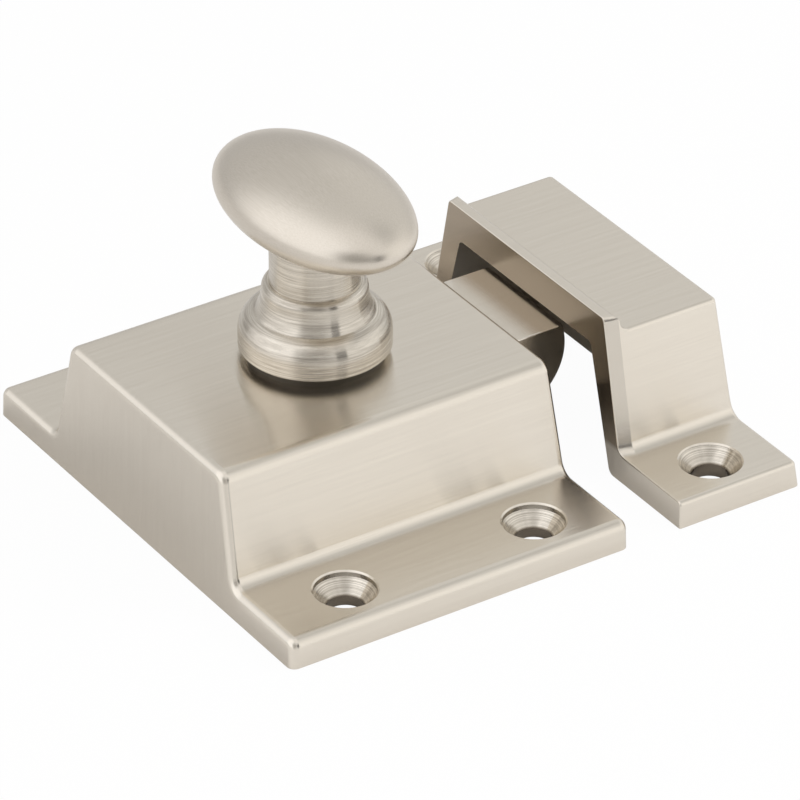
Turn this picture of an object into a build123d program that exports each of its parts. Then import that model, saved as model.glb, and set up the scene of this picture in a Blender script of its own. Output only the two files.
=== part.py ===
"""Cabinet latch: an oval turn knob draws a sprung bolt back out of a cast strike.

Millimetres. X runs along the bolt towards the strike, Y across the flanges, Z out from the door.
The origin is the knob's axis on the mounting plane, which is also the centre of the four screws.
"""

from math import cos, hypot, radians, sin, tan
import os

from build123d import *

os.makedirs("parts", exist_ok=True)

# Case, its length taken at the top
case_length = 35.0
case_draft = 0.55
case_width = 50.8
case_height = 13.6
case_foot_width = 31.0
case_top_width = 26.2
case_flange = 2.9
case_wall = 1.8
case_roof = 1.6
axis_from_back = 18.2
top_edge_round = 1.3
flange_edge_round = 1.0
end_round = 0.8
foot_fillet = 1.2
cavity_corner = 0.4

# Holes for the mounting screws, which are not supplied
screw_hole = 3.5
screw_head = 5.8
screw_angle = 82
screw_spacing_x = 20.2
screw_spacing_y = 41.3
case_screw_sink = 0.6
sink_break = 0.15

# Back plate and its screws
plate_thickness = 1.0
plate_rim = 1.2
plate_corner = 1.5
plate_screw_diameter = 1.6
plate_screw_head = 3.0
plate_screw_length = 3.6
plate_screw_slot = 0.4
pillar_diameter = 2.8
pillar_inset = 2.4

# Bolt
bolt_width = 12.4
bolt_reach = 6.5
bolt_stroke = 6.0
nose_radius = 6.0
nose_flat_rise = 2.0
bolt_edge_round = 0.15
tail_width = 22.8
tail_thickness = 2.2
follower_width = 14.0
follower_thickness = 2.4

# Spring, its round wire drawn with a few flats
spring_wire = 0.4
spring_radius = 2.2
spring_turns = 6
wire_flats = 8

# Knob
knob_length = 25.0
knob_width = 15.0
knob_dome = 4.45
knob_underside = 3.85
knob_fullness = 0.51
knob_stem_diameter = 8.3
knob_stem_height = 7.95
knob_neck_fillet = 0.9
knob_tenon_diameter = 6.6
knob_turn = 90.0

# Turned collar at the knob's foot
collar_body_radius = 7.05
collar_body_height = 1.6
collar_break = 0.2
collar_shoulder_radius = 5.5
collar_shoulder_height = 3.7
collar_neck_radius = 4.87
collar_top_radius = 4.35
collar_height = 6.7
collar_crown = 0.75
washer_thickness = 0.85
washer_diameter = 12.4

# Spindle, cam and clip
spindle_diameter = 5.0
spindle_square = 3.5
spindle_grip = 4.5
spindle_foot_diameter = 2.5
spindle_collar_diameter = 3.4
clip_groove_diameter = 2.2
clip_diameter = 5.6
clip_thickness = 0.6
clip_mouth = 70.0
cam_thickness = 3.0
cam_start_roll = 1.05
cam_tip_round = 0.5
flank_steps = 14
boss_diameter = 9.2

# Strike
strike_gap = 6.1
strike_width = 50.8
strike_foot_depth = 13.45
strike_top_depth = 12.15
heel_draft = 0.7
heel_height = 4.0
heel_round = 15.0
strike_foot_width = 31.8
strike_top_width = 26.8
strike_foot_thickness = 2.8
strike_roof = 2.05
strike_back_wall = 1.6
strike_play = 0.55
strike_screw_setback = 6.45
strike_screw_spacing = 42.0
strike_screw_sink = 0.2
strike_edge_round = 0.5
strike_front_round = 0.15
strike_back_round = 0.5
pocket_top_width = 21.5
pocket_foot_width = 28.4
pocket_corner = 0.6
pocket_foot_round = 0.8
lip_rise = 1.45
lip_length = 2.2
lip_flat = 0.75
lip_bevel_depth = 1.35
lip_bevel_inset = 0.4

# Running gaps and fits
slide_gap = 0.15
turn_gap = 0.05
press_gap = 0.02
stop_gap = 0.1
lift_gap = 0.3

# How far a cut runs past the surface that it opens
overcut = 1.0

# Places along the bolt
case_back = -axis_from_back
case_front = case_back + case_length
cavity_back = case_back + case_wall
cavity_front = case_front - case_wall
nose_tip = case_front + bolt_reach
nose_centre_x = nose_tip - nose_radius
tail_front = cavity_front - stop_gap
strike_front = case_front + strike_gap

# Heights above the mounting plane
cavity_roof = case_height - case_roof
bolt_top = cavity_roof - slide_gap
nose_centre_z = bolt_top - nose_flat_rise
bolt_bottom = nose_centre_z - nose_radius
tail_bottom = plate_thickness + slide_gap
tail_top = tail_bottom + tail_thickness
clip_bottom = tail_top + lift_gap
cam_bottom = clip_bottom + clip_thickness + press_gap
cam_top = cam_bottom + cam_thickness
boss_bottom = cam_top + turn_gap
collar_base = case_height + washer_thickness + turn_gap
collar_top = collar_base + collar_height
knob_rim = collar_top + knob_stem_height
spindle_top = collar_top + spindle_grip
pocket_roof = bolt_top + strike_play
strike_top = pocket_roof + strike_roof
lip_top = strike_top + lip_rise

# The cam's hub is the base circle that its flank unrolls from, so each radian of turn
# moves the bolt by the base radius.
base_radius = bolt_stroke / radians(knob_turn)
cam_end_roll = cam_start_roll + radians(knob_turn)
follower_face = -(base_radius * cam_start_roll + turn_gap)
follower_back = follower_face - follower_thickness
spring_height = (tail_top + cam_top) / 2
stub_length = (follower_back - bolt_stroke - cavity_back - stop_gap) / 2
stub_radius = spring_radius - spring_wire / 2 - slide_gap
spring_length = follower_back - cavity_back
bar_rear = boss_diameter / 2 + bolt_stroke + lift_gap
pillar_y = tail_width / 2 + slide_gap + pillar_diameter / 2
pillar_places = [
    (x, y)
    for x in (cavity_back + pillar_inset, cavity_front - pillar_inset)
    for y in (-pillar_y, pillar_y)
]


def block_outline(widths, heights, corner):
    """A trapezoid between two heights, its upper corners rounded, in the open sketch."""
    foot, top = widths[0] / 2, widths[1] / 2
    Polygon(
        (-foot, heights[0]),
        (-top, heights[1]),
        (top, heights[1]),
        (foot, heights[0]),
        align=None,
    )
    fillet(vertices().group_by(Axis.Y)[-1], corner)


def hat_outline(width, flange, widths, top, crest_round, rim_round):
    """A flange with a sloping block on it, blended at the foot, in the open sketch."""
    edge = width / 2
    foot, crown = widths[0] / 2, widths[1] / 2
    Polygon(
        (-edge, 0),
        (-edge, flange),
        (-foot, flange),
        (-crown, top),
        (crown, top),
        (foot, flange),
        (edge, flange),
        (edge, 0),
        align=None,
    )
    fillet(vertices().group_by(Axis.Y)[-1], crest_round)
    fillet(vertices().group_by(Axis.Y)[1].sort_by(Axis.X)[1:-1], foot_fillet)
    rim = vertices().group_by(Axis.Y)[1].sort_by(Axis.X)
    fillet([rim[0], rim[-1]], rim_round)


def end_outline(face):
    """The edges up both sides of an end face. A round on them carries on over its top."""
    return face.edges().filter_by(Axis.Y, reverse=True)


def screw_sink(depth, level, places):
    """Cut screw holes down from a level: a broken rim, a straight sink, a cone, a hole."""
    cone = (screw_head - screw_hole) / 2 / tan(radians(screw_angle / 2))
    with BuildSketch(Plane.XZ, mode=Mode.PRIVATE) as half:
        Polygon(
            (0, sink_break),
            (screw_head / 2 + 2 * sink_break, sink_break),
            (screw_head / 2, -sink_break),
            (screw_head / 2, -depth),
            (screw_hole / 2, -depth - cone),
            (screw_hole / 2, -level - overcut),
            (0, -level - overcut),
            align=None,
        )
    cutter = revolve(half.sketch, axis=Axis.Z, mode=Mode.PRIVATE)
    with Locations([(x, y, level) for x, y in places]):
        add(cutter, mode=Mode.SUBTRACT)


def oval_quarter(rise):
    """Control points of one curve from the knob's rim to its pole, a height away."""
    reach = knob_length / 2
    return [
        (reach, knob_rim),
        (reach, knob_rim + knob_fullness * rise),
        (knob_fullness * reach, knob_rim + rise),
        (0, knob_rim + rise),
    ]


def involute_point(roll):
    """The cam flank's point for a roll angle, with the knob at rest."""
    back = roll - cam_start_roll
    x = -base_radius * roll
    y = -base_radius
    return x * cos(back) - y * sin(back), x * sin(back) + y * cos(back)


# Case: cast, with a flange along each side, hollow beneath and slotted for the bolt
case_lean = (case_foot_width - case_top_width) / 2 / (case_height - case_flange)
wall_run = case_wall * hypot(1, case_lean)
cavity_top_width = case_top_width + 2 * case_lean * case_roof - 2 * wall_run
cavity_foot_width = case_foot_width + 2 * case_lean * case_flange - 2 * wall_run
plate_x = (case_back + case_front) / 2
plate_length = case_length - 2 * plate_rim
plate_width = case_foot_width - plate_rim

with BuildPart() as case:
    with BuildSketch(Plane.YZ.offset(case_back - case_draft)):
        hat_outline(
            case_width,
            case_flange,
            (case_foot_width, case_top_width),
            case_height,
            top_edge_round,
            flange_edge_round,
        )
    extrude(amount=case_length + 2 * case_draft)
    # the ends lean out towards the mounting plane
    with BuildSketch(Plane.XZ):
        Polygon(
            (case_back - case_draft, 0),
            (case_back + case_draft, 2 * case_height),
            (case_front - case_draft, 2 * case_height),
            (case_front + case_draft, 0),
            align=None,
        )
    extrude(amount=case_width, both=True, mode=Mode.INTERSECT)
    for end in (0, -1):
        fillet(end_outline(case.faces().sort_by(Axis.X)[end]), end_round)
    with BuildSketch(Plane.YZ.offset(cavity_back)):
        block_outline((cavity_foot_width, cavity_top_width), (0, cavity_roof), cavity_corner)
    extrude(amount=cavity_front - cavity_back, mode=Mode.SUBTRACT)
    with BuildSketch(Plane.XY):
        with Locations((plate_x, 0)):
            RectangleRounded(plate_length + 2 * press_gap, plate_width + 2 * press_gap, plate_corner)
    extrude(amount=plate_thickness + press_gap, mode=Mode.SUBTRACT)
    # slot that guides the bolt
    with BuildSketch(Plane.YZ.offset(cavity_front - overcut)):
        with BuildLine():
            Polyline(
                (-bolt_width / 2 - slide_gap, bolt_bottom - slide_gap),
                (-bolt_width / 2 - slide_gap, cavity_roof),
                (bolt_width / 2 + slide_gap, cavity_roof),
                (bolt_width / 2 + slide_gap, bolt_bottom - slide_gap),
                close=True,
            )
        make_face()
    extrude(amount=case_wall + 2 * overcut, mode=Mode.SUBTRACT)
    # boss round the spindle
    with BuildSketch(Plane.XY.offset(boss_bottom)):
        Circle(boss_diameter / 2)
    extrude(amount=case_height - case_roof / 2 - boss_bottom)
    # pillars that take the plate's screws and guide the bolt's tail
    with BuildSketch(Plane.XY.offset(plate_thickness + press_gap)):
        with Locations(pillar_places):
            Circle(pillar_diameter / 2)
    extrude(amount=plate_screw_length)
    # nub that centres the spring and stops the bolt at full stroke
    with BuildSketch(Plane.YZ.offset(case_back + case_wall / 2)):
        with Locations((0, spring_height)):
            Circle(stub_radius)
    extrude(amount=case_wall / 2 + stub_length)
    with BuildSketch(Plane.XY):
        Circle(spindle_diameter / 2 + turn_gap)
    extrude(amount=case_height + overcut, mode=Mode.SUBTRACT)
    with BuildSketch(Plane.XY):
        with Locations(pillar_places):
            Circle(plate_screw_diameter / 2 + press_gap)
    extrude(amount=plate_screw_length + stop_gap, mode=Mode.SUBTRACT)
    screw_sink(
        case_screw_sink,
        case_flange,
        [
            (x * screw_spacing_x / 2, y * screw_spacing_y / 2)
            for x in (-1, 1)
            for y in (-1, 1)
        ],
    )
case.part.label = "case"

# Back plate: stamped, flush in the case's rebate, and the spindle's lower bearing
with BuildPart() as back_plate:
    with BuildSketch():
        with Locations((plate_x, 0)):
            RectangleRounded(plate_length, plate_width, plate_corner)
        Circle(spindle_foot_diameter / 2 + turn_gap, mode=Mode.SUBTRACT)
    extrude(amount=plate_thickness)
    with Locations(Plane.XY.rotated((180, 0, 0))):
        with Locations([(x, y, 0) for x, y in pillar_places]):
            CounterSinkHole(
                plate_screw_diameter / 2 + press_gap,
                plate_screw_head / 2 + press_gap,
                depth=plate_thickness + overcut,
                counter_sink_angle=90,
            )
back_plate.part.label = "back_plate"

# Plate screws: four slotted countersunk screws driven from below
with BuildPart() as plate_screws:
    with BuildSketch(Plane.XZ, mode=Mode.PRIVATE) as screw_half:
        with BuildLine():
            Polyline(
                (0, 0),
                (plate_screw_head / 2, 0),
                (plate_screw_diameter / 2, (plate_screw_head - plate_screw_diameter) / 2),
                (plate_screw_diameter / 2, plate_screw_length),
                (0, plate_screw_length),
                close=True,
            )
        make_face()
    with Locations([(x, y, 0) for x, y in pillar_places]):
        add(revolve(screw_half.sketch, axis=Axis.Z, mode=Mode.PRIVATE))
        Box(
            plate_screw_head,
            plate_screw_slot,
            plate_screw_slot,
            align=(Align.CENTER, Align.CENTER, Align.MIN),
            mode=Mode.SUBTRACT,
        )
plate_screws.part.label = "plate_screws"

# Bolt: a round-nosed bar on a flat tail, with an upright wall that the cam pushes
with BuildPart() as bolt:
    with BuildSketch(Plane.XZ):
        with BuildLine():
            under = Line((tail_front, bolt_bottom), (nose_centre_x, bolt_bottom))
            nose = ThreePointArc(
                (nose_centre_x, bolt_bottom),
                (nose_tip, nose_centre_z),
                (nose_centre_x + (nose_radius**2 - nose_flat_rise**2) ** 0.5, bolt_top),
            )
            Polyline(
                nose @ 1,
                (bar_rear, bolt_top),
                (bar_rear, tail_bottom),
                (tail_front, tail_bottom),
                under @ 0,
            )
        make_face()
    extrude(amount=bolt_width / 2, both=True)
    with BuildSketch(Plane.XY.offset(tail_bottom)):
        with BuildLine():
            Polyline(
                (follower_back, -tail_width / 2),
                (follower_back, tail_width / 2),
                (tail_front, tail_width / 2),
                (tail_front, -tail_width / 2),
                close=True,
            )
        make_face()
        fillet(vertices().group_by(Axis.X)[0], plate_corner)
    extrude(amount=tail_thickness)
    with BuildSketch(Plane.XY.offset(tail_bottom)):
        with BuildLine():
            Polyline(
                (follower_back, -follower_width / 2),
                (follower_back, follower_width / 2),
                (follower_face, follower_width / 2),
                (follower_face, -follower_width / 2),
                close=True,
            )
        make_face()
    extrude(amount=cam_top - tail_bottom)
    # stub that centres the spring
    with BuildSketch(Plane.YZ.offset(follower_back - stub_length)):
        with Locations((0, spring_height)):
            Circle(stub_radius)
    extrude(amount=stub_length + follower_thickness / 2)
    # slot that lets the tail pass the spindle
    with BuildSketch(Plane.XY):
        with Locations((bolt_stroke / 2, 0)):
            SlotCenterToCenter(bolt_stroke, spindle_collar_diameter + 2 * lift_gap)
    extrude(amount=tail_top + overcut, mode=Mode.SUBTRACT)
    nose_sides = bolt.faces().filter_by(Axis.Y).sort_by(Axis.X)[-2:].edges()
    fillet(nose_sides.filter_by_position(Axis.X, cavity_front, nose_tip), bolt_edge_round)
bolt.part.label = "bolt"

# Bolt spring: a compression spring with its ends ground flat
with BuildPart() as bolt_spring:
    lead = spring_length / spring_turns
    with BuildLine():
        coil = Helix(
            lead,
            spring_length + lead / 2,
            spring_radius,
            center=(cavity_back - lead / 4, 0, spring_height),
            direction=(1, 0, 0),
        )
    with BuildSketch(Plane(origin=coil @ 0, z_dir=coil % 0)):
        RegularPolygon(spring_wire / 2, wire_flats)
    sweep(is_frenet=True)
    with Locations((cavity_back + spring_length / 2, 0, spring_height)):
        Box(
            spring_length - 2 * press_gap,
            4 * spring_radius,
            4 * spring_radius,
            mode=Mode.INTERSECT,
        )
bolt_spring.part.label = "bolt_spring"

# Knob: oval head and round stem in one piece, with a tenon down through the collar
with BuildPart() as knob_head:
    with BuildSketch(Plane.XZ):
        with BuildLine():
            crown = Bezier(*oval_quarter(knob_dome))
            belly = Bezier(*oval_quarter(-knob_underside))
            Line(crown @ 1, belly @ 1)
        make_face()
    revolve(axis=Axis.Z)
    scale(by=(knob_width / knob_length, 1, 1))
    with BuildSketch(Plane.XY.offset(collar_top)):
        Circle(knob_stem_diameter / 2)
    extrude(amount=knob_stem_height)
    rings = knob_head.edges().filter_by(lambda e: e.is_closed).sort_by(Axis.Z)
    fillet(rings[-1], knob_neck_fillet)
    with BuildSketch(Plane.XY.offset(collar_base)):
        Circle(knob_tenon_diameter / 2)
    extrude(amount=collar_height)
    with BuildSketch(Plane.XY.offset(collar_base)):
        Circle(spindle_diameter / 2 + press_gap)
    extrude(amount=collar_height + spindle_grip + press_gap, mode=Mode.SUBTRACT)
knob_head.part.label = "knob_head"

# Collar: turned, with a stepped shoulder and a hollow neck
with BuildPart() as knob_collar:
    with BuildSketch(Plane.XZ):
        with BuildLine():
            wall = Polyline(
                (knob_tenon_diameter / 2 + press_gap, collar_base),
                (collar_body_radius - collar_break, collar_base),
                (collar_body_radius, collar_base + collar_break),
                (collar_body_radius, collar_base + collar_body_height),
            )
            shoulder = TangentArc(
                wall @ 1,
                (collar_shoulder_radius, collar_base + collar_shoulder_height),
                tangent=(0, 1),
            )
            neck = TangentArc(
                (collar_neck_radius, collar_top - collar_crown), shoulder @ 1, tangent=(0, -1)
            )
            top_round = TangentArc(neck @ 0, (collar_top_radius, collar_top), tangent=(0, 1))
            Polyline(
                top_round @ 1,
                (knob_tenon_diameter / 2 + press_gap, collar_top),
                wall @ 0,
            )
        make_face()
    revolve(axis=Axis.Z)
knob_collar.part.label = "knob_collar"

# Thrust washer between the collar and the case
with BuildPart() as thrust_washer:
    with BuildSketch(Plane.XY.offset(case_height)):
        Circle(washer_diameter / 2)
        Circle(spindle_diameter / 2 + 2 * turn_gap, mode=Mode.SUBTRACT)
    extrude(amount=washer_thickness)
thrust_washer.part.label = "thrust_washer"

# Spindle: round where it bears, square in the cam, grooved for the clip
with BuildPart() as spindle:
    with BuildSketch(Plane.XY.offset(cam_top)):
        Circle(spindle_diameter / 2)
    extrude(amount=spindle_top - cam_top)
    with BuildSketch(Plane.XY.offset(cam_bottom)):
        Rectangle(spindle_square, spindle_square)
    extrude(amount=cam_thickness)
    with BuildSketch(Plane.XY.offset(stop_gap)):
        Circle(spindle_foot_diameter / 2)
    extrude(amount=clip_bottom)
    with BuildSketch(Plane.XY.offset(plate_thickness + stop_gap)):
        Circle(spindle_collar_diameter / 2)
    extrude(amount=clip_bottom - press_gap - plate_thickness - stop_gap)
    with BuildSketch(Plane.XY.offset(clip_bottom - press_gap)):
        Rectangle(spindle_diameter, spindle_diameter)
        Circle(clip_groove_diameter / 2, mode=Mode.SUBTRACT)
    extrude(amount=cam_bottom - clip_bottom + press_gap, mode=Mode.SUBTRACT)
    with BuildSketch(Plane.XY.offset(clip_bottom - press_gap)):
        Circle(clip_groove_diameter / 2)
    extrude(amount=cam_bottom - clip_bottom + press_gap)
spindle.part.label = "spindle"

# Cam: a hub with one lobe, whose flank is an involute of the hub's circle
with BuildPart() as cam:
    with BuildSketch(Plane.XY.offset(cam_bottom)):
        with BuildLine():
            rolls = [cam_end_roll * step / flank_steps for step in range(flank_steps + 1)]
            flank = Spline([involute_point(roll) for roll in rolls])
            tip = flank @ 1
            Polyline(
                tip,
                (base_radius + 2 * cam_tip_round, tip.Y + 2 * cam_tip_round),
                (base_radius, 0),
                (0, 0),
                flank @ 0,
            )
        make_face()
        fillet(vertices().sort_by(Axis.Y)[0], cam_tip_round)
        Circle(base_radius)
        Rectangle(
            spindle_square + 2 * press_gap, spindle_square + 2 * press_gap, mode=Mode.SUBTRACT
        )
    extrude(amount=cam_thickness)
cam.part.label = "cam"

# Clip: an open ring in the spindle's groove that holds the cam up
with BuildPart() as cam_clip:
    with BuildSketch(Plane.XY.offset(clip_bottom)):
        Circle(clip_diameter / 2)
        Circle(clip_groove_diameter / 2 + press_gap, mode=Mode.SUBTRACT)
        with BuildLine():
            mouth = clip_diameter * sin(radians(clip_mouth / 2))
            Polyline((0, 0), (clip_diameter, mouth), (clip_diameter, -mouth), close=True)
        make_face(mode=Mode.SUBTRACT)
    extrude(amount=clip_thickness)
cam_clip.part.label = "cam_clip"

# Strike: cast, pocketed from the front and below, with a raised lip that guides the bolt in
strike_lean = (strike_foot_width - strike_top_width) / 2 / (strike_top - strike_foot_thickness)
lip_top_width = strike_top_width - 2 * strike_lean * lip_rise
strike_back = strike_front + strike_foot_depth
strike_brow = strike_front + strike_top_depth
crest_end = strike_front + lip_flat
lip_end = strike_front + lip_length


def strike_outline(top_width, top, inset=0):
    """The strike's cross-section for one height of its top, its slopes drawn in, in the sketch."""
    hat_outline(
        strike_width,
        strike_foot_thickness,
        (strike_foot_width - 2 * inset, top_width - 2 * inset),
        top,
        strike_edge_round,
        strike_edge_round,
    )


with BuildPart() as strike:
    # front edge, drawn in on both slopes by a bevel
    with BuildSketch(Plane.YZ.offset(strike_front)):
        strike_outline(lip_top_width, lip_top, lip_bevel_inset)
    with BuildSketch(Plane.YZ.offset(strike_front + lip_bevel_depth)):
        strike_outline(lip_top_width, lip_top)
    loft(ruled=True)
    with BuildSketch(Plane.YZ.offset(strike_front + lip_bevel_depth)):
        strike_outline(lip_top_width, lip_top)
    extrude(amount=lip_length - lip_bevel_depth)
    # sweep of the lip's top down to the plain top
    with BuildSketch(Plane.XZ):
        with BuildLine():
            brow = TangentArc(
                (crest_end, lip_top),
                ((crest_end + lip_end) / 2, (lip_top + strike_top) / 2),
                tangent=(1, 0),
            )
            TangentArc(brow @ 1, (lip_end, strike_top), tangent=brow % 1)
            Polyline(
                (lip_end, strike_top),
                (lip_end, lip_top + overcut),
                (crest_end, lip_top + overcut),
                (crest_end, lip_top),
            )
        make_face()
    extrude(amount=strike_width, both=True, mode=Mode.SUBTRACT)
    with BuildSketch(Plane.YZ.offset(lip_end)):
        strike_outline(strike_top_width, strike_top)
    extrude(amount=strike_foot_depth - lip_length)
    # the back leans in as it rises, most of all up its heel
    with BuildSketch(Plane.XZ):
        Polygon(
            (strike_back, 0),
            (strike_back - heel_draft, heel_height),
            (strike_brow, strike_top + overcut),
            (strike_back + overcut, strike_top + overcut),
            (strike_back + overcut, 0),
            align=None,
        )
        fillet(vertices().sort_by(Axis.Y)[2], heel_round)
    extrude(amount=strike_width, both=True, mode=Mode.SUBTRACT)
    fillet(end_outline(strike.faces().sort_by(Axis.X)[-1]), strike_back_round)
    fillet(end_outline(strike.faces().sort_by(Axis.X)[0]), strike_front_round)
    with BuildSketch(Plane.YZ.offset(strike_front)):
        block_outline((pocket_foot_width, pocket_top_width), (0, pocket_roof), pocket_corner)
    extrude(amount=strike_top_depth - strike_back_wall, mode=Mode.SUBTRACT)
    pocket_feet = strike.edges().filter_by(Axis.X).group_by(Axis.Z)[0]
    fillet(pocket_feet.sort_by(lambda e: abs((e @ 0.5).Y))[:2], pocket_foot_round)
    screw_sink(
        strike_screw_sink,
        strike_foot_thickness,
        [(strike_front + strike_screw_setback, y * strike_screw_spacing / 2) for y in (-1, 1)],
    )
strike.part.label = "strike"

pieces = [
    case,
    back_plate,
    plate_screws,
    bolt,
    bolt_spring,
    knob_head,
    knob_collar,
    thrust_washer,
    spindle,
    cam,
    cam_clip,
    strike,
]
for piece in pieces:
    export_step(piece.part, f"parts/{piece.part.label}.step")
    print(piece.part.label, round(piece.part.volume, 2), "mm3")
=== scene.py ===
# %% [markdown]
# This lesson dresses a small cabinet latch: a cast case with an oval turn knob on it, and a
# strike that takes the bolt. But for one thin washer, all that is seen is brass under a plate of
# satin nickel, so there is almost no colour to paint. What the eye reads is the brushing, the
# crisp edges, and the pale room in the metal. The shapes come from the CAD frame, already at
# their real size and place. Here they get their surfaces, a room, a lamp, a floor and a camera.

from math import cos, pi, radians, sin

import bpy
from mathutils import Matrix, Vector


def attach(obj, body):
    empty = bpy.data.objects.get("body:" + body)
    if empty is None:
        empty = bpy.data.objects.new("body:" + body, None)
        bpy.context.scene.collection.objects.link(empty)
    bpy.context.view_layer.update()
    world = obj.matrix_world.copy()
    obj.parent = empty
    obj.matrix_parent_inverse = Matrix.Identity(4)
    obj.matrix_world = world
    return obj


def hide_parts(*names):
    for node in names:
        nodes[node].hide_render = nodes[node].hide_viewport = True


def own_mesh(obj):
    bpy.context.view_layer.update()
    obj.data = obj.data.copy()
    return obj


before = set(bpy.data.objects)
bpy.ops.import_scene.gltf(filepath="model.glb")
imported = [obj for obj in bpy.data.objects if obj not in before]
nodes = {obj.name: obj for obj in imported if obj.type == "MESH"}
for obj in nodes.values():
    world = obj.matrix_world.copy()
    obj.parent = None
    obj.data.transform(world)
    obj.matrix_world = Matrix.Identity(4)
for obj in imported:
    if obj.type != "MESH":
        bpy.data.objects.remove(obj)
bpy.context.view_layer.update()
mm = 0.001
print("CAD nodes:", ", ".join(sorted(nodes)))

# %% [markdown]
# The camera comes first, because every surface is judged through it. The long lens keeps the
# case's edges almost parallel, as in a product photograph. It is placed by the point that it
# looks at, the two angles that it looks from and its distance, which are easier to think about
# than a place and three turns.

# %% Camera
view_target = Vector((9.26, 0.106, 5.08)) * mm
view_azimuth = radians(-33.242)
view_elevation = radians(32.133)
view_distance = 592.8 * mm
view_roll = radians(0.114)
view_lens = 289.8
view_sensor = 36
nearest_seen = 50 * mm

towards_camera = Vector(
    (
        sin(view_azimuth) * cos(view_elevation),
        -cos(view_azimuth) * cos(view_elevation),
        sin(view_elevation),
    )
)
camera_data = bpy.data.cameras.new("Camera")
camera_data.lens = view_lens
camera_data.sensor_width = view_sensor
camera_data.clip_start = nearest_seen
camera = bpy.data.objects.new("Camera", camera_data)
bpy.context.scene.collection.objects.link(camera)
camera.rotation_euler = (
    towards_camera.to_track_quat("Z", "Y").to_matrix() @ Matrix.Rotation(view_roll, 3, "Z")
).to_euler()
camera.location = view_target + towards_camera * view_distance
bpy.context.scene.camera = camera
bpy.context.scene.view_settings.view_transform = "Standard"
print("camera at", [round(v / mm, 1) for v in camera.location], "mm")

# %% [markdown]
# Colours are written as hex values, as a painter's swatch would be, but shaders mix light in
# linear values, so one function turns one into the other.


# %% Colours from swatches
def colour(code):
    """A linear RGBA colour from an sRGB hex code."""
    parts = [int(code[i : i + 2], 16) / 255 for i in (1, 3, 5)]
    return [p / 12.92 if p <= 0.04045 else ((p + 0.055) / 1.055) ** 2.4 for p in parts] + [1.0]


print("a half-grey swatch, #808080, gives back", round(colour("#808080")[0], 3), "of the light")

# %% [markdown]
# A shader is a tree of small nodes. One helper adds a node with its settings and links in a
# single call, which keeps a material readable from top to bottom. The other clears the tree that
# a new material or world starts with.


# %% Helpers for nodes
def add(tree, kind, inputs=None, **settings):
    """Add a node. An input's value is a number, a colour, or another node's output."""
    node = tree.nodes.new(kind)
    for name, value in settings.items():
        setattr(node, name, value)
    for key, value in (inputs or {}).items():
        if isinstance(value, bpy.types.NodeSocket):
            tree.links.new(value, node.inputs[key])
        else:
            node.inputs[key].default_value = value
    return node


def empty_tree(owner):
    """The emptied node tree of a material or a world."""
    owner.use_nodes = True
    owner.node_tree.nodes.clear()
    return owner.node_tree


print("helpers:", add.__name__, "and", empty_tree.__name__)

# %% [markdown]
# Nickel shows its room, so the room is the first finish to get right. The photograph was taken
# in a pale tent with bright paper below. Its cloth is grey at the horizon and a little lighter
# overhead. A painted picture of a room would do as well, but a few plain tones are easier to
# tune one at a time.

# %% Tent cloth
tent_strength = 1.45
cloth_low = colour("#a6a5a4")
cloth_high = colour("#bdbcba")

world = bpy.data.worlds.new("Pale tent")
bpy.context.scene.world = world
tent = empty_tree(world)
direction = add(tent, "ShaderNodeTexCoord").outputs["Generated"]
height = add(tent, "ShaderNodeSeparateXYZ", {0: direction}).outputs["Z"]
cloth = add(
    tent,
    "ShaderNodeMix",
    {"Factor": height, "A": cloth_low, "B": cloth_high},
    data_type="RGBA",
).outputs["Result"]
print("tent cloth is", tent_strength, "times its swatch")

# %% [markdown]
# Each panel is a patch of the tent. It has a middle, given by the azimuth and the elevation that
# it is seen in from the latch, and it fades between two angles from there. Azimuth 0 is straight
# in front of the latch and grows to the right. Panels are painted on the tent and aren't lamps,
# because a painted patch can be as soft and as dim as cloth.


# %% How a panel is laid
def towards(azimuth, elevation):
    """The unit vector to a place in the tent, from two angles in degrees."""
    level = cos(radians(elevation))
    return Vector(
        (sin(radians(azimuth)) * level, -cos(radians(azimuth)) * level, sin(radians(elevation)))
    )


def panel(under, azimuth, elevation, full_angle, end_angle, tone):
    """Lay a soft-edged patch of a tone over the tent so far."""
    near = add(
        tent,
        "ShaderNodeVectorMath",
        {0: direction, 1: towards(azimuth, elevation)},
        operation="DOT_PRODUCT",
    ).outputs["Value"]
    cover = add(
        tent,
        "ShaderNodeMapRange",
        {"Value": near, "From Min": cos(radians(end_angle)), "From Max": cos(radians(full_angle))},
        interpolation_type="SMOOTHSTEP",
    ).outputs["Result"]
    return add(
        tent, "ShaderNodeMix", {"Factor": cover, "A": under, "B": colour(tone)}, data_type="RGBA"
    ).outputs["Result"]


print("azimuth 90 points along", [round(part) for part in towards(90, 0)])

# %% [markdown]
# Tracing where each part of the latch reflects gave the plan of the room. It has lighter cloth
# at the back right, where the tops of the case and the strike look, a dimmer patch high on the
# right, which the flanges show by way of the slopes, light cloth overhead in front for the
# knob's rim, a bright panel low in front on the right for the collar and the stem, a brighter
# one on the left that the knob shows along its lower edge, and a dim patch where the
# photographer stood. Later ones lie over earlier ones.

# %% Panels of the tent
panels = (
    # azimuth, elevation, angle of its full tone, angle of its end, tone
    (114, 31, 20, 34, "#c1c0be"),
    (55, 56, 10, 30, "#a5a4a2"),
    (-25, 61, 28, 44, "#d2d0ce"),
    (47, 2, 20, 60, "#dddbd8"),
    (-98, 27, 26, 60, "#ecebeb"),
    (-36, 20, 14, 34, "#8f8d8a"),
)
for azimuth, elevation, full_angle, end_angle, tone in panels:
    cloth = panel(cloth, azimuth, elevation, full_angle, end_angle, tone)
print(len(panels), "panels")

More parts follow.
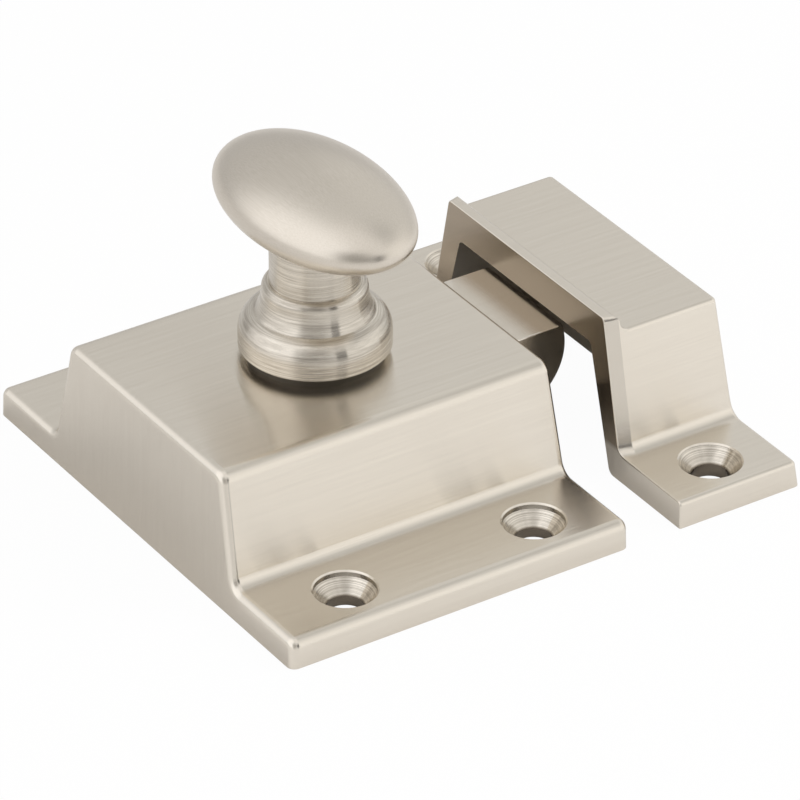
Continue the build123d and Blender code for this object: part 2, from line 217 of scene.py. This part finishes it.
# %% [markdown]
# The tent has a narrow dark gap in front, for the lens. The stem, the collar and the knob show
# it as one dark streak, which tells the eye that they are round. It is a strip from the paper up
# to the light cloth: where the direction lies close to one upright plane, on the front side, and
# below a height.

# %% Dark gap
gap_azimuth = 6
gap_half_width = 8
gap_side_blur = 1.5
gap_top = sin(radians(31))
gap_top_blur = 0.05
gap_tone = colour("#1c1b1a")

sideways = add(
    tent,
    "ShaderNodeVectorMath",
    {0: direction, 1: towards(gap_azimuth + 90, 0)},
    operation="DOT_PRODUCT",
).outputs["Value"]
ahead = add(
    tent,
    "ShaderNodeVectorMath",
    {0: direction, 1: towards(gap_azimuth, 0)},
    operation="DOT_PRODUCT",
).outputs["Value"]
slant = add(tent, "ShaderNodeMath", {0: sideways, 1: ahead}, operation="ARCTAN2").outputs[0]
off_gap = add(tent, "ShaderNodeMath", {0: slant}, operation="ABSOLUTE").outputs[0]
between_sides = add(
    tent,
    "ShaderNodeMapRange",
    {
        "Value": off_gap,
        "From Min": radians(gap_half_width + gap_side_blur),
        "From Max": radians(gap_half_width - gap_side_blur),
    },
).outputs["Result"]
below_top = add(
    tent,
    "ShaderNodeMapRange",
    {"Value": height, "From Min": gap_top + gap_top_blur, "From Max": gap_top - gap_top_blur},
).outputs["Result"]
in_gap = add(
    tent, "ShaderNodeMath", {0: between_sides, 1: below_top}, operation="MULTIPLY"
).outputs[0]
cloth = add(
    tent, "ShaderNodeMix", {"Factor": in_gap, "A": cloth, "B": gap_tone}, data_type="RGBA"
).outputs["Result"]
print("the gap is", 2 * gap_half_width, "degrees wide")

# %% [markdown]
# A product picture stands on plain white. Rays from the camera therefore see white instead of
# the tent, so the ground is white without more light on the object.

# %% White ground for the camera
cloth_light = add(tent, "ShaderNodeBackground", {"Color": cloth, "Strength": tent_strength})
white_ground = add(tent, "ShaderNodeBackground", {"Color": colour("#ffffff"), "Strength": 1.0})
seen = add(tent, "ShaderNodeLightPath").outputs["Is Camera Ray"]
either = add(
    tent, "ShaderNodeMixShader", {0: seen, 1: cloth_light.outputs[0], 2: white_ground.outputs[0]}
)
add(tent, "ShaderNodeOutputWorld", {"Surface": either.outputs[0]})
print("tent:", len(tent.nodes), "nodes")

# %% [markdown]
# One large lamp stands high on the right. It lights the paper and throws the latch's soft shadow
# to the back left. Reflections leave it out, because the panels already give the metal its
# light, and a second bright window in the round knob would look like a spot. Its power follows
# from the brightness of its face, so it can be made larger without growing brighter.

# %% Paper lamp
lamp_side = 0.7
lamp_brightness = 4.7
lamp_distance = 1.1
towards_lamp = towards(60, 41)

lamp_data = bpy.data.lights.new("Paper lamp", "AREA")
lamp_data.shape = "SQUARE"
lamp_data.size = lamp_side
lamp_data.energy = lamp_brightness * pi * lamp_side**2
lamp = bpy.data.objects.new("Paper lamp", lamp_data)
bpy.context.scene.collection.objects.link(lamp)
lamp.location = view_target + towards_lamp * lamp_distance
lamp.rotation_euler = towards_lamp.to_track_quat("Z", "Y").to_euler()
lamp.visible_camera = False
lamp.visible_glossy = False
print(f"paper lamp: {lamp_data.energy:.2f} W")

# %% [markdown]
# The floor is a sheet of white paper, large enough that its edge is never seen. It lies a hair
# under the latch, so that the two never share a plane.

# %% Floor sheet
floor_half = 3.0
floor_drop = 0.02 * mm

floor_mesh = bpy.data.meshes.new("Floor")
floor_corners = [(-1, -1), (1, -1), (1, 1), (-1, 1)]
floor_mesh.from_pydata(
    [(x * floor_half, y * floor_half, 0) for x, y in floor_corners], [], [(0, 1, 2, 3)]
)
floor = bpy.data.objects.new("Floor", floor_mesh)
floor.location.z = -floor_drop
bpy.context.scene.collection.objects.link(floor)
print("floor:", 2 * floor_half, "m square")

# %% [markdown]
# Paper is matt, so it is lit by the lamp and the tent, and it darkens in the latch's shadow and in
# the gap before the strike, which is what makes the strike's front dark in the metal. Its colour is
# whitest in front and a little greyer behind the latch. That grey is painted shade, for light that
# falls off away from the lamp. Rays from the camera see mostly a white glow, so the picture's
# ground stays white and keeps a little of the shadow.

# %% White paper
camera_glow = 0.97
paper_front = -40 * mm
paper_back = 80 * mm
paper_light = colour("#dfdedd")
# Painted shade: the paper's greyer tone behind the latch, away from the lamp.
paper_painted_shade = colour("#d3d2d1")

paper = bpy.data.materials.new("White paper with painted shade behind")
tree = empty_tree(paper)
seen = add(tree, "ShaderNodeLightPath").outputs["Is Camera Ray"]
glow_share = add(tree, "ShaderNodeMath", {0: seen, 1: camera_glow}, operation="MULTIPLY")
paper_place = add(tree, "ShaderNodeTexCoord").outputs["Object"]
# How far the painted shade behind the latch has come in.
shade_behind = add(
    tree,
    "ShaderNodeMapRange",
    {
        "Value": add(tree, "ShaderNodeSeparateXYZ", {0: paper_place}).outputs["Y"],
        "From Min": paper_front,
        "From Max": paper_back,
    },
    interpolation_type="SMOOTHSTEP",
).outputs["Result"]
paper_tone = add(
    tree,
    "ShaderNodeMix",
    {"Factor": shade_behind, "A": paper_light, "B": paper_painted_shade},
    data_type="RGBA",
).outputs["Result"]
matt = add(tree, "ShaderNodeBsdfDiffuse", {"Color": paper_tone})
glow = add(tree, "ShaderNodeEmission", {"Color": colour("#ffffff"), "Strength": 1.0})
sheet = add(
    tree, "ShaderNodeMixShader", {0: glow_share.outputs[0], 1: matt.outputs[0], 2: glow.outputs[0]}
)
add(tree, "ShaderNodeOutputMaterial", {"Surface": sheet.outputs[0]})
floor_mesh.materials.append(paper)
print("the camera sees", camera_glow, "of the floor as plain white")

# %% [markdown]
# The case, the strike and the bolt are cast, then brushed on a belt and plated with nickel.
# The belt leaves fine parallel lines that run the length of the latch, and up and down on the
# two end faces. Plating rounds the lines a little and keeps them. The eye gets three things
# from them: faint streaks of light and dark, a gloss that changes from streak to streak, and a
# highlight that is drawn out across the lines. Noise that is stretched along the belt's
# direction gives all three. Real lines are about 0.05 mm wide, under one pixel here, so they
# are drawn at 0.075 mm. Broader bands under them are where the belt pressed harder.

# %% Noise stretched along the belt
line_width = 0.075 * mm
line_length = 7 * mm
band_width = 0.6 * mm
band_length = 25 * mm


def belt_noise(tree, place, upright, width, length, detail, roughness):
    """Noise in strips of a width and a length, along X, or along Z where upright is 1."""
    along_x = (1 / length, 1 / width, 1 / width)
    along_z = (1 / width, 1 / width, 1 / length)
    scale = add(
        tree, "ShaderNodeMix", {"Factor": upright, "A": along_x, "B": along_z}, data_type="VECTOR"
    ).outputs["Result"]
    strips = add(tree, "ShaderNodeVectorMath", {0: place, 1: scale}, operation="MULTIPLY")
    return add(
        tree,
        "ShaderNodeTexNoise",
        {"Vector": strips.outputs[0], "Scale": 1.0, "Detail": detail, "Roughness": roughness},
    ).outputs["Fac"]


print("lines", line_width / mm, "mm wide and", line_length / mm, "mm long")

# %% [markdown]
# Each screw hole is cut after brushing, by a countersink that turns on the hole's axis, so the
# cone has rings and a brighter gloss. To draw them, a surface point needs its distance from
# the nearest hole's axis. The holes are mirror images of each other about the latch's middle,
# so the sign of a point's place tells which hole is nearest.


# %% Distance from the nearest screw hole
def hole_offset(tree, place, middle, spread):
    """The way from the nearest hole's axis to a point. The holes stand at middle +- spread."""
    centred = add(tree, "ShaderNodeVectorMath", {0: place, 1: middle}, operation="SUBTRACT")
    side = add(tree, "ShaderNodeVectorMath", {0: centred.outputs[0]}, operation="SIGN")
    axis = add(tree, "ShaderNodeVectorMath", {0: side.outputs[0], 1: spread}, operation="MULTIPLY")
    apart = add(
        tree,
        "ShaderNodeVectorMath",
        {0: centred.outputs[0], 1: axis.outputs[0]},
        operation="SUBTRACT",
    )
    flat = add(
        tree, "ShaderNodeVectorMath", {0: apart.outputs[0], 1: (1, 1, 0)}, operation="MULTIPLY"
    )
    return flat.outputs[0]


case_screw_spread = (10.1 * mm, 20.65 * mm, 0)
print("case screws stand", [round(part / mm, 2) for part in case_screw_spread], "mm out")

# %% [markdown]
# Two covers follow from the distance: one is 1 inside the cone's mouth and one is 1 in the hole
# itself, each with a narrow soft edge. The rings are noise along the distance alone.

# %% Cone, hole and rings
sink_radius = 2.9 * mm
hole_radius = 1.75 * mm
sink_blur = 0.04 * mm
hole_blur = 0.12 * mm
ring_width = 0.1 * mm


def screw_cover(tree, distance):
    """How far a point lies in the cone, and how far in the hole, each from 0 to 1."""
    in_sink = add(
        tree,
        "ShaderNodeMapRange",
        {
            "Value": distance,
            "From Min": sink_radius + sink_blur,
            "From Max": sink_radius - sink_blur,
        },
    ).outputs["Result"]
    # The second cover marks where the shade down the hole is painted.
    hole_shade_cover = add(
        tree,
        "ShaderNodeMapRange",
        {
            "Value": distance,
            "From Min": hole_radius + hole_blur,
            "From Max": hole_radius + sink_blur,
        },
    ).outputs["Result"]
    return in_sink, hole_shade_cover


def sink_rings(tree, distance):
    """The tool's rings round a hole."""
    rings_out = add(tree, "ShaderNodeMath", {0: distance, 1: 1 / ring_width}, operation="MULTIPLY")
    return add(
        tree,
        "ShaderNodeTexNoise",
        {"W": rings_out.outputs[0], "Scale": 1.0, "Detail": 2.0, "Roughness": 0.6},
        noise_dimensions="1D",
    ).outputs["Fac"]


print("cones", 2 * sink_radius / mm, "mm wide over holes of", 2 * hole_radius / mm, "mm")

# %% [markdown]
# The strike's front stands against the case, across a narrow gap where little light comes in, so it
# lies in shade and mirrors the dark gap. That shade is painted into its colour as a darker,
# brownish tone. The painted part is found by what a surface point can tell of itself: it faces the
# case, and it lies above the foot.

# %% Painted shade on the strike's front
height_blur = 0.3 * mm
turned_away = -0.8
faces_case = -0.95


def shaded_front(tree, facing_x, height, shaded_above):
    """1 on a face that looks towards -X and lies above a height."""
    high = add(
        tree,
        "ShaderNodeMapRange",
        {
            "Value": height,
            "From Min": shaded_above - height_blur,
            "From Max": shaded_above + height_blur,
        },
    ).outputs["Result"]
    facing_back = add(
        tree,
        "ShaderNodeMapRange",
        {"Value": facing_x, "From Min": turned_away, "From Max": faces_case},
    ).outputs["Result"]
    return add(tree, "ShaderNodeMath", {0: high, 1: facing_back}, operation="MULTIPLY").outputs[0]


strike_foot = 3.2 * mm
print("the strike is dull above", strike_foot / mm, "mm")

# %% [markdown]
# Nickel is a warm pale grey. The lines change it very little, the rings a little more. The shade
# down the screw holes is painted as a dark tone on their walls, and the shade on the strike's front
# as a darker brownish tone.

# %% Colour of the brushed plate
nickel = colour("#ede7dc")
nickel_shade = colour("#e3dcd1")
ring_shade = colour("#b3aca1")
# Painted shade: the brownish dark tone of the strike's front, for the shade of the narrow gap
# before it.
front_shade_colour = colour("#a99d8d")
# Painted shade: the dark tone of the holes' walls, for the shade down the holes.
hole_shade_colour = colour("#857c70")
band_share = 0.35
darkest_line = 0.4
lightest_line = 0.95


def plate_colour(tree, lines, bands, in_sink, hole_shade_cover, shaded):
    """The colour of the plate on brushed lines and in cones, with painted shade in the holes and on
    the strike's front.
    """
    line_and_band = add(
        tree, "ShaderNodeMath", {0: bands, 1: band_share, 2: lines}, operation="MULTIPLY_ADD"
    ).outputs[0]
    tone = add(
        tree,
        "ShaderNodeMapRange",
        {"Value": line_and_band, "From Min": darkest_line, "From Max": lightest_line},
    ).outputs["Result"]
    shade = add(
        tree,
        "ShaderNodeMix",
        {"Factor": in_sink, "A": nickel_shade, "B": ring_shade},
        data_type="RGBA",
    ).outputs["Result"]
    plated = add(
        tree, "ShaderNodeMix", {"Factor": tone, "A": shade, "B": nickel}, data_type="RGBA"
    ).outputs["Result"]
    # Painted shade on the walls of the screw holes.
    with_hole_shade = add(
        tree, "ShaderNodeMix", {"Factor": hole_shade_cover, "A": plated, "B": hole_shade_colour}, data_type="RGBA"
    ).outputs["Result"]
    return add(
        tree, "ShaderNodeMix", {"Factor": shaded, "A": with_hole_shade, "B": front_shade_colour}, data_type="RGBA"
    ).outputs["Result"]


print("nickel gives back", [round(part, 2) for part in nickel[:3]], "of the light")

# %% [markdown]
# A brushed surface blurs what it mirrors across its lines far more than along them. The shader
# takes the way across as its tangent. On the flat faces and the slopes that is square to X. In
# a cone it runs down the wall, because the rings run round it. A small nudge keeps the tangent
# from vanishing on the end faces, which look along X.

# %% Way across the lines
end_face_nudge = (0, 0.05, 0)


def across_belt(tree, normal, offset, in_sink):
    """The way across the belt's lines, or across the rings of a cone."""
    across = add(
        tree, "ShaderNodeVectorMath", {0: normal, 1: (1, 0, 0)}, operation="CROSS_PRODUCT"
    ).outputs[0]
    nudged = add(
        tree, "ShaderNodeVectorMath", {0: across, 1: end_face_nudge}, operation="ADD"
    ).outputs[0]
    around = add(
        tree, "ShaderNodeVectorMath", {0: (0, 0, 1), 1: offset}, operation="CROSS_PRODUCT"
    ).outputs[0]
    down_sink = add(
        tree, "ShaderNodeVectorMath", {0: normal, 1: around}, operation="CROSS_PRODUCT"
    ).outputs[0]
    unit = add(tree, "ShaderNodeVectorMath", {0: down_sink}, operation="NORMALIZE").outputs[0]
    return add(
        tree, "ShaderNodeMix", {"Factor": in_sink, "A": nudged, "B": unit}, data_type="VECTOR"
    ).outputs["Result"]


print("the nudge is", end_face_nudge[1], "of a unit along Y")

# %% [markdown]
# The material puts these together. An end face is one that looks along X, where the lines stand
# upright. The lines also lift the surface by half a thousandth of a millimetre, enough to make
# the mirrored room shimmer.

# %% Brushed nickel
line_depth = 0.0005 * mm
brushed_gloss = (0.18, 0.22)
sink_gloss = 0.18
least_noise, most_noise = 0.25, 0.75
end_face_starts, end_face_full = 0.7, 0.8


def brushed_nickel(name, middle, spread, shaded_above):
    """Satin nickel brushed along X, with turned countersinks at middle +- spread.

    Faces towards -X get painted shade in their colour above a height.
    """
    material = bpy.data.materials.new(name)
    tree = empty_tree(material)
    place = add(tree, "ShaderNodeTexCoord").outputs["Object"]
    height = add(tree, "ShaderNodeSeparateXYZ", {0: place}).outputs["Z"]
    normal = add(tree, "ShaderNodeNewGeometry").outputs["Normal"]
    facing_x = add(
        tree, "ShaderNodeVectorMath", {0: normal, 1: (1, 0, 0)}, operation="DOT_PRODUCT"
    ).outputs["Value"]
    along_axis = add(tree, "ShaderNodeMath", {0: facing_x}, operation="ABSOLUTE").outputs[0]
    end_face = add(
        tree,
        "ShaderNodeMapRange",
        {"Value": along_axis, "From Min": end_face_starts, "From Max": end_face_full},
    ).outputs["Result"]
    grain = belt_noise(tree, place, end_face, line_width, line_length, detail=3.0, roughness=0.6)
    bands = belt_noise(tree, place, end_face, band_width, band_length, detail=2.0, roughness=0.5)
    offset = hole_offset(tree, place, middle, spread)
    distance = add(tree, "ShaderNodeVectorMath", {0: offset}, operation="LENGTH").outputs["Value"]
    in_sink, hole_shade_cover = screw_cover(tree, distance)
    lines = add(
        tree,
        "ShaderNodeMix",
        {"Factor": in_sink, "A": grain, "B": sink_rings(tree, distance)},
        data_type="FLOAT",
    ).outputs["Result"]
    # Painted shade on the strike's front.
    shaded = shaded_front(tree, facing_x, height, shaded_above)
    uneven = add(
        tree,
        "ShaderNodeMapRange",
        {
            "Value": lines,
            "From Min": least_noise,
            "From Max": most_noise,
            "To Min": brushed_gloss[0],
            "To Max": brushed_gloss[1],
        },
    ).outputs["Result"]
    rough = add(
        tree, "ShaderNodeMix", {"Factor": in_sink, "A": uneven, "B": sink_gloss}, data_type="FLOAT"
    ).outputs["Result"]
    relief = add(
        tree, "ShaderNodeBump", {"Height": lines, "Strength": 1.0, "Distance": line_depth}
    ).outputs["Normal"]
    surface = add(
        tree,
        "ShaderNodeBsdfPrincipled",
        {
            "Base Color": plate_colour(tree, lines, bands, in_sink, hole_shade_cover, shaded),
            "Metallic": 1.0,
            "Roughness": rough,
            "Anisotropic": 1.0,
            "Tangent": across_belt(tree, normal, offset, in_sink),
            "Normal": relief,
        },
    )
    add(tree, "ShaderNodeOutputMaterial", {"Surface": surface.outputs[0]})
    print(name, "has", len(tree.nodes), "nodes")
    return material


print("lines", line_depth / mm, "mm deep")

# %% [markdown]
# The case has four holes about the knob's axis and the strike two about its own middle. The bolt
# has none, so its holes are put a metre away. Only the strike gets painted shade on its front, so
# for the other two that height is far above them.

# %% Brush the case, the strike and the bolt
origin = (0, 0, 0)
strike_middle = (29.35 * mm, 0, 0)
strike_screw_spread = (0, 21 * mm, 0)
a_metre_away = (1, 1, 0)
above_all = 100 * mm


def finish_node(node, material):
    """Give a CAD node its material."""
    slots = nodes[node].data.materials
    slots.clear()
    slots.append(material)


finish_node("case", brushed_nickel("Brushed nickel case", origin, case_screw_spread, above_all))
finish_node(
    "strike",
    brushed_nickel("Brushed nickel strike", strike_middle, strike_screw_spread, strike_foot),
)
finish_node("bolt", brushed_nickel("Brushed nickel bolt", origin, a_metre_away, above_all))

# %% [markdown]
# The collar and the knob's stem are turned on a lathe, so their lines are rings round the
# knob's axis, and strong ones. A ring is told by its height and by its distance from the axis,
# because the collar has level steps as well as upright walls. A lathe's feed leaves them about a
# tenth of a millimetre apart, which is just wide enough to show here. Going round, the noise
# changes every few millimetres, so the rings are broken, as a tool's marks are.

# %% Rings of a turned piece
ring_slope = 1.3
arc_length = 5 * mm


def turned_place(tree, flat, height):
    """Where a point lies in noise that makes rings. Flat is its way out from the axis."""
    radius = add(tree, "ShaderNodeVectorMath", {0: flat}, operation="LENGTH").outputs["Value"]
    down = add(
        tree, "ShaderNodeMath", {0: radius, 1: ring_slope, 2: height}, operation="MULTIPLY_ADD"
    ).outputs[0]
    ring = add(
        tree, "ShaderNodeMath", {0: down, 1: 1 / ring_width}, operation="MULTIPLY"
    ).outputs[0]
    arc = add(
        tree, "ShaderNodeVectorMath", {0: flat, "Scale": 1 / arc_length}, operation="SCALE"
    ).outputs[0]
    step = add(tree, "ShaderNodeCombineXYZ", {"Z": ring}).outputs[0]
    return add(tree, "ShaderNodeVectorMath", {0: arc, 1: step}, operation="ADD").outputs[0]


print("rings", ring_width / mm, "mm wide, broken every", arc_length / mm, "mm")

# %% [markdown]
# The knob's head is cast, then drawn along a soft belt, which leaves a satin skin with fine
# lines along its length. One material does both kinds: below a level it takes its lines from
# the lathe, and above it from long thin noise. A highlight is drawn out across the lines, so
# the way across is worked out for either kind from the surface's normal.

# %% Way across the rings and the satin lines
level_blur = 0.2 * mm


def above_level(tree, height, level):
    """1 above a level and 0 below it."""
    return add(
        tree,
        "ShaderNodeMapRange",
        {"Value": height, "From Min": level - level_blur, "From Max": level + level_blur},
    ).outputs["Result"]


def across_lathe(tree, normal, flat, satin):
    """The way across the rings, or across lines along Y where satin is 1."""
    round_axis = add(
        tree, "ShaderNodeVectorMath", {0: (0, 0, 1), 1: flat}, operation="CROSS_PRODUCT"
    ).outputs[0]
    along = add(
        tree,
        "ShaderNodeMix",
        {"Factor": satin, "A": round_axis, "B": (0, 1, 0)},
        data_type="VECTOR",
    ).outputs["Result"]
    across = add(
        tree, "ShaderNodeVectorMath", {0: normal, 1: along}, operation="CROSS_PRODUCT"
    ).outputs[0]
    return add(tree, "ShaderNodeVectorMath", {0: across}, operation="NORMALIZE").outputs[0]


stem_top = 25.6 * mm
print("the knob is satin above", stem_top / mm, "mm")

# %% [markdown]
# Rings are deeper than satin lines and darker in their grooves, and they draw a highlight out
# further. Satin is duller and more even, so the head shows the room as one soft glow.

# %% Turned and satin nickel
turned_depth, satin_depth = 0.002 * mm, 0.0004 * mm
turned_gloss, satin_gloss = (0.19, 0.29), 0.3
turned_stretch, satin_stretch = 1.0, 0.5
satin_light = colour("#e1dad0")
satin_shade = colour("#d5cec2")
darkest_ring, lightest_ring = 0.3, 0.7


def turned_nickel(name, satin_from):
    """Nickel with lathe rings round the Z axis, and with satin lines along Y above a height."""
    material = bpy.data.materials.new(name)
    tree = empty_tree(material)
    place = add(tree, "ShaderNodeTexCoord").outputs["Object"]
    height = add(tree, "ShaderNodeSeparateXYZ", {0: place}).outputs["Z"]
    normal = add(tree, "ShaderNodeNewGeometry").outputs["Normal"]
    flat = add(
        tree, "ShaderNodeVectorMath", {0: place, 1: (1, 1, 0)}, operation="MULTIPLY"
    ).outputs[0]
    satin = above_level(tree, height, satin_from)
    along_y = (1 / line_width, 1 / line_length, 1 / line_width)
    satin_place = add(
        tree, "ShaderNodeVectorMath", {0: place, 1: along_y}, operation="MULTIPLY"
    ).outputs[0]
    line_place = add(
        tree,
        "ShaderNodeMix",
        {"Factor": satin, "A": turned_place(tree, flat, height), "B": satin_place},
        data_type="VECTOR",
    ).outputs["Result"]
    lines = add(
        tree,
        "ShaderNodeTexNoise",
        {"Vector": line_place, "Scale": 1.0, "Detail": 3.0, "Roughness": 0.65},
    ).outputs["Fac"]
    tone = add(
        tree,
        "ShaderNodeMapRange",
        {"Value": lines, "From Min": darkest_ring, "From Max": lightest_ring},
    ).outputs["Result"]
    shade = add(
        tree,
        "ShaderNodeMix",
        {"Factor": satin, "A": ring_shade, "B": satin_shade},
        data_type="RGBA",
    ).outputs["Result"]
    light = add(
        tree, "ShaderNodeMix", {"Factor": satin, "A": nickel, "B": satin_light}, data_type="RGBA"
    ).outputs["Result"]
    base = add(
        tree, "ShaderNodeMix", {"Factor": tone, "A": shade, "B": light}, data_type="RGBA"
    ).outputs["Result"]
    uneven = add(
        tree,
        "ShaderNodeMapRange",
        {
            "Value": lines,
            "From Min": least_noise,
            "From Max": most_noise,
            "To Min": turned_gloss[0],
            "To Max": turned_gloss[1],
        },
    ).outputs["Result"]
    rough = add(
        tree, "ShaderNodeMix", {"Factor": satin, "A": uneven, "B": satin_gloss}, data_type="FLOAT"
    ).outputs["Result"]
    cut = add(
        tree, "ShaderNodeMapRange", {"Value": satin, "To Min": turned_depth, "To Max": satin_depth}
    ).outputs["Result"]
    relief = add(
        tree, "ShaderNodeBump", {"Height": lines, "Strength": 1.0, "Distance": cut}
    ).outputs["Normal"]
    stretch = add(
        tree,
        "ShaderNodeMapRange",
        {"Value": satin, "To Min": turned_stretch, "To Max": satin_stretch},
    ).outputs["Result"]
    surface = add(
        tree,
        "ShaderNodeBsdfPrincipled",
        {
            "Base Color": base,
            "Metallic": 1.0,
            "Roughness": rough,
            "Anisotropic": stretch,
            "Tangent": across_lathe(tree, normal, flat, satin),
            "Normal": relief,
        },
    )
    add(tree, "ShaderNodeOutputMaterial", {"Surface": surface.outputs[0]})
    print(name, "has", len(tree.nodes), "nodes")
    return material


finish_node("knob_collar", turned_nickel("Turned nickel collar", above_all))
finish_node("knob_head", turned_nickel("Satin nickel knob", stem_top))

# %% [markdown]
# Inside are plain steels that nobody polishes. They are hidden until the latch is opened, but each
# still gets its own finish, from one recipe with small soft spots in its colour and its gloss. Real
# crystals and scratches are finer than a pixel here, so the spots are drawn 0.4 to 1.2 mm wide. The
# back plate and its screws are plated with zinc, which is bluish and a little cloudy. The washer is
# darkened to a brown, fairly rough tone as painted shade: it stands for the dark line of shade
# under the collar. The spindle is turned bar and the cam is milled, so both are bright and clean.
# The clip is hardened and blued by heat, and the spring is hard-drawn wire, grey and fairly glossy.

# %% Steels inside
gloss_spread = 0.08


def worked_steel(name, tone, shade, roughness, spot_size):
    """A metal with a slightly uneven colour and gloss."""
    material = bpy.data.materials.new(name)
    tree = empty_tree(material)
    place = add(tree, "ShaderNodeTexCoord").outputs["Object"]
    spots = add(
        tree,
        "ShaderNodeTexNoise",
        {"Vector": place, "Scale": 1 / spot_size, "Detail": 4.0, "Roughness": 0.6},
    ).outputs["Fac"]
    base = add(
        tree,
        "ShaderNodeMix",
        {"Factor": spots, "A": colour(shade), "B": colour(tone)},
        data_type="RGBA",
    ).outputs["Result"]
    rough = add(
        tree,
        "ShaderNodeMapRange",
        {"Value": spots, "To Min": roughness - gloss_spread, "To Max": roughness + gloss_spread},
    ).outputs["Result"]
    surface = add(
        tree, "ShaderNodeBsdfPrincipled", {"Base Color": base, "Metallic": 1.0, "Roughness": rough}
    )
    add(tree, "ShaderNodeOutputMaterial", {"Surface": surface.outputs[0]})
    return material


steels = {
    # CAD node: name of its steel, light tone, dark tone, roughness, size of its spots
    "back_plate": ("Zinc-plated sheet steel", "#c9cbcd", "#a9acb0", 0.38, 1.2 * mm),
    "plate_screws": ("Zinc-plated screw steel", "#c4c7ca", "#9da1a6", 0.34, 0.5 * mm),
    "bolt_spring": ("Hard-drawn spring wire", "#a3a3a5", "#77787b", 0.32, 0.4 * mm),
    # The washer's dark tones are painted shade, for the shadow line under the collar.
    "thrust_washer": ("Washer steel darkened as painted shade", "#5c5750", "#46423c", 0.45, 0.6 * mm),
    "spindle": ("Turned bar steel", "#bcbcbe", "#98999c", 0.3, 0.5 * mm),
    "cam": ("Machined cam steel", "#b3b3b5", "#8e8f92", 0.33, 0.5 * mm),
    "cam_clip": ("Blued spring steel", "#4c5058", "#363a42", 0.3, 0.4 * mm),
}
for node, finish in steels.items():
    finish_node(node, worked_steel(*finish))
print(len(steels), "steels inside")

# %% [markdown]
# The bolt's spring is round wire, wound on a rod. The CAD coil has a faceted wire, so a small
# node tree winds a round one in its place: a spiral curve for the coil and a circle swept along
# it. The coil fills the same box, because its length, radius and middle are measured from the
# CAD node.

# %% Measure the coil
spring_wire = 0.4 * mm
spring_turns = 6.0
cad_spring = nodes["bolt_spring"]
coil_corners = [cad_spring.matrix_world @ Vector(corner) for corner in cad_spring.bound_box]
coil_low = Vector([min(corner[i] for corner in coil_corners) for i in range(3)])
coil_high = Vector([max(corner[i] for corner in coil_corners) for i in range(3)])
coil_size = coil_high - coil_low
print("coil:", [round(size / mm, 2) for size in coil_size], "mm")

# %% [markdown]
# The tree takes four sizes by name, so the coil can be wound longer, wider, thicker or tighter
# without a change to the tree. The spiral node winds round Z, and the last steps lay it along X,
# make sure that nothing in it is an instance, and give it its steel.

# %% Node tree that winds the wire
steps_per_turn = 40
wire_sides = 12
sizes = {
    "Length": coil_size.x - spring_wire,
    "Coil radius": (coil_size.y - spring_wire) / 2,
    "Wire radius": spring_wire / 2,
    "Turns": spring_turns,
}
winding = bpy.data.node_groups.new("Wound wire", "GeometryNodeTree")
sockets = {
    name: winding.interface.new_socket(name, in_out="INPUT", socket_type="NodeSocketFloat")
    for name in sizes
}
winding.interface.new_socket("Geometry", in_out="OUTPUT", socket_type="NodeSocketGeometry")
given = add(winding, "NodeGroupInput").outputs
spiral = add(
    winding,
    "GeometryNodeCurveSpiral",
    {
        "Resolution": steps_per_turn,
        "Rotations": given["Turns"],
        "Start Radius": given["Coil radius"],
        "End Radius": given["Coil radius"],
        "Height": given["Length"],
    },
)
section = add(
    winding,
    "GeometryNodeCurvePrimitiveCircle",
    {"Resolution": wire_sides, "Radius": given["Wire radius"]},
)
wire = add(
    winding,
    "GeometryNodeCurveToMesh",
    {"Curve": spiral.outputs[0], "Profile Curve": section.outputs[0], "Fill Caps": True},
)
laid = add(
    winding,
    "GeometryNodeTransform",
    {
        "Geometry": wire.outputs[0],
        "Translation": (coil_low + coil_high) / 2 - Vector((sizes["Length"] / 2, 0, 0)),
        "Rotation": (0, pi / 2, 0),
    },
)
smooth = add(winding, "GeometryNodeSetShadeSmooth", {"Geometry": laid.outputs[0]})
real = add(winding, "GeometryNodeRealizeInstances", {"Geometry": smooth.outputs[0]})
painted = add(
    winding,
    "GeometryNodeSetMaterial",
    {"Geometry": real.outputs[0], "Material": cad_spring.data.materials[0]},
)
add(winding, "NodeGroupOutput", {"Geometry": painted.outputs[0]})
print("winding tree:", len(winding.nodes), "nodes")

# %% [markdown]
# The wound mesh takes the CAD coil's place and is fixed to the case. When the bolt is drawn back,
# the spring is pressed between the case's back wall, where it stands still, and the bolt.

spring = bpy.data.objects.new("wound_bolt_spring", bpy.data.meshes.new("Wire"))
bpy.context.scene.collection.objects.link(spring)
modifier = spring.modifiers.new("Winding", "NODES")
modifier.node_group = winding
for name, size in sizes.items():
    modifier[sockets[name].identifier] = size
wound = bpy.data.meshes.new_from_object(
    spring.evaluated_get(bpy.context.evaluated_depsgraph_get())
)
spring.modifiers.remove(modifier)
spring.data = wound
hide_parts("bolt_spring")
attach(spring, "case")
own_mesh(spring)
print("spring:", len(wound.polygons), "faces")
